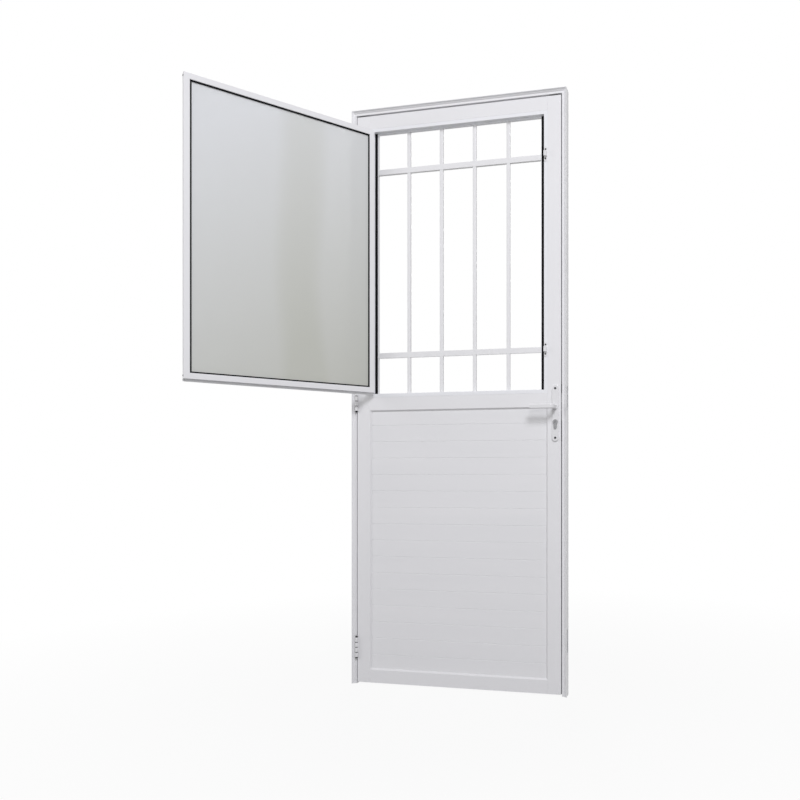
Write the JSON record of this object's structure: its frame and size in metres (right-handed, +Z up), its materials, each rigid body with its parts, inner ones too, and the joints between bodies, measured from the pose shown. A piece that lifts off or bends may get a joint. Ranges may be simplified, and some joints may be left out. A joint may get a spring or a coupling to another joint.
{
  "type": "aluminium door with grille and glazed hatch",
  "caption": "White aluminium entrance door in its frame: boarded lower panel, fixed grille above, and a glazed hatch that opens for air while the leaf stays locked.",
  "frame": {"origin": "on the floor, at the middle of the frame's width, in the plane of the leaf's room face", "axes": "+X towards the lock side, -Y towards the room that the hatch opens into, +Z up"},
  "size_m": [1.1315, 0.5776, 2.1],
  "materials": {
    "white_paint": "satin white powder coat on aluminium",
    "black_rubber": "matt black seal",
    "satin_glass": "satin glass that blurs what is behind it",
    "lock_metal": "satin nickel-grey metal",
    "dark_screw": "dark screw head"
  },
  "bodies": {
    "frame": {"frame_hinge_jamb": "white_paint", "frame_lock_jamb": "white_paint", "frame_head": "white_paint", "frame_seal": "black_rubber", "strike_plate": "lock_metal", "door_hinge_frame_halves": "white_paint"},
    "leaf": {"leaf_hinge_stile": "white_paint", "leaf_lock_stile": "white_paint", "leaf_top_rail": "white_paint", "leaf_mid_rail": "white_paint", "leaf_bottom_rail": "white_paint", "panel_board_1": "white_paint", "panel_board_2": "white_paint", "panel_board_3": "white_paint", "panel_board_4": "white_paint", "panel_board_5": "white_paint", "panel_board_6": "white_paint", "panel_board_7": "white_paint", "panel_board_8": "white_paint", "panel_beads": "white_paint", "hatch_frame_hinge_side": "white_paint", "hatch_frame_lock_side": "white_paint", "hatch_frame_top": "white_paint", "hatch_frame_bottom": "white_paint", "hatch_seals": "black_rubber", "hatch_keepers": "white_paint", "keeper_screws": "dark_screw", "grille_bar_1": "white_paint", "grille_bar_2": "white_paint", "grille_bar_3": "white_paint", "grille_bar_4": "white_paint", "grille_rail_lower": "white_paint", "grille_rail_upper": "white_paint", "escutcheon_inside": "white_paint", "escutcheon_outside": "white_paint", "escutcheon_screws": "dark_screw", "lock_case": "lock_metal", "lock_faceplate": "lock_metal", "cylinder_body": "lock_metal", "door_hinge_leaf_halves": "white_paint", "door_hinge_pins": "lock_metal", "hatch_hinge_leaf_halves": "white_paint", "hatch_hinge_pins": "lock_metal"},
    "sash": {"sash_hinge_stile": "white_paint", "sash_lock_stile": "white_paint", "sash_top_rail": "white_paint", "sash_bottom_rail": "white_paint", "sash_glass": "satin_glass", "sash_gasket": "black_rubber", "glazing_beads": "white_paint", "hatch_hinge_sash_halves": "white_paint", "hatch_latch_bases": "white_paint"},
    "handle": {"lever_inside": "white_paint", "lever_outside": "white_paint", "spindle": "lock_metal"},
    "latch": {"latch_bolt": "lock_metal"},
    "bolt": {"dead_bolt": "lock_metal"},
    "plug": {"cylinder_plug": "lock_metal"},
    "hatch_latch_low": {"hatch_latch_lower": "white_paint"},
    "hatch_latch_high": {"hatch_latch_upper": "white_paint"}
  },
  "joints": [
    {"name": "leaf_swing", "type": "hinge", "parent": "frame", "child": "leaf", "pos_m": [-0.38175, -0.00575, 1.036], "axis": [0, 0, -1], "range_deg": [0, 100]},
    {"name": "hatch_swing", "type": "hinge", "parent": "leaf", "child": "sash", "pos_m": [-0.319, -0.0048, 1.53925], "axis": [0, 0, 1], "range_deg": [-15, 130]},
    {"name": "lever_turn", "type": "hinge", "parent": "leaf", "child": "handle", "pos_m": [0.3605, 0.014, 1], "axis": [0, -1, 0], "range_deg": [0, 35], "stiffness_Nm_per_rad": 1, "springref_deg": -17.19},
    {"name": "latch_slide", "type": "slide", "parent": "leaf", "child": "latch", "axis": [-1, 0, 0], "range_m": [0, 0.01]},
    {"name": "key_turn", "type": "hinge", "parent": "leaf", "child": "plug", "pos_m": [0.3605, 0.014, 0.948], "axis": [0, -1, 0], "range_deg": [0, 180]},
    {"name": "bolt_throw", "type": "slide", "parent": "leaf", "child": "bolt", "axis": [1, 0, 0], "range_m": [0, 0.014]},
    {"name": "hatch_latch_lower_turn", "type": "hinge", "parent": "sash", "child": "hatch_latch_low", "pos_m": [-0.72432, -0.48286, 1.201], "axis": [-0.766, 0.6428, 0], "range_deg": [0, 90]},
    {"name": "hatch_latch_upper_turn", "type": "hinge", "parent": "sash", "child": "hatch_latch_high", "pos_m": [-0.72432, -0.48286, 1.8775], "axis": [-0.766, 0.6428, 0], "range_deg": [0, 90]}
  ],
  "couplings": [
    {"joint": "latch_slide", "follows": "lever_turn", "m_per_rad": 0.01637},
    {"joint": "bolt_throw", "follows": "key_turn", "m_per_rad": 0.0044563}
  ]
}
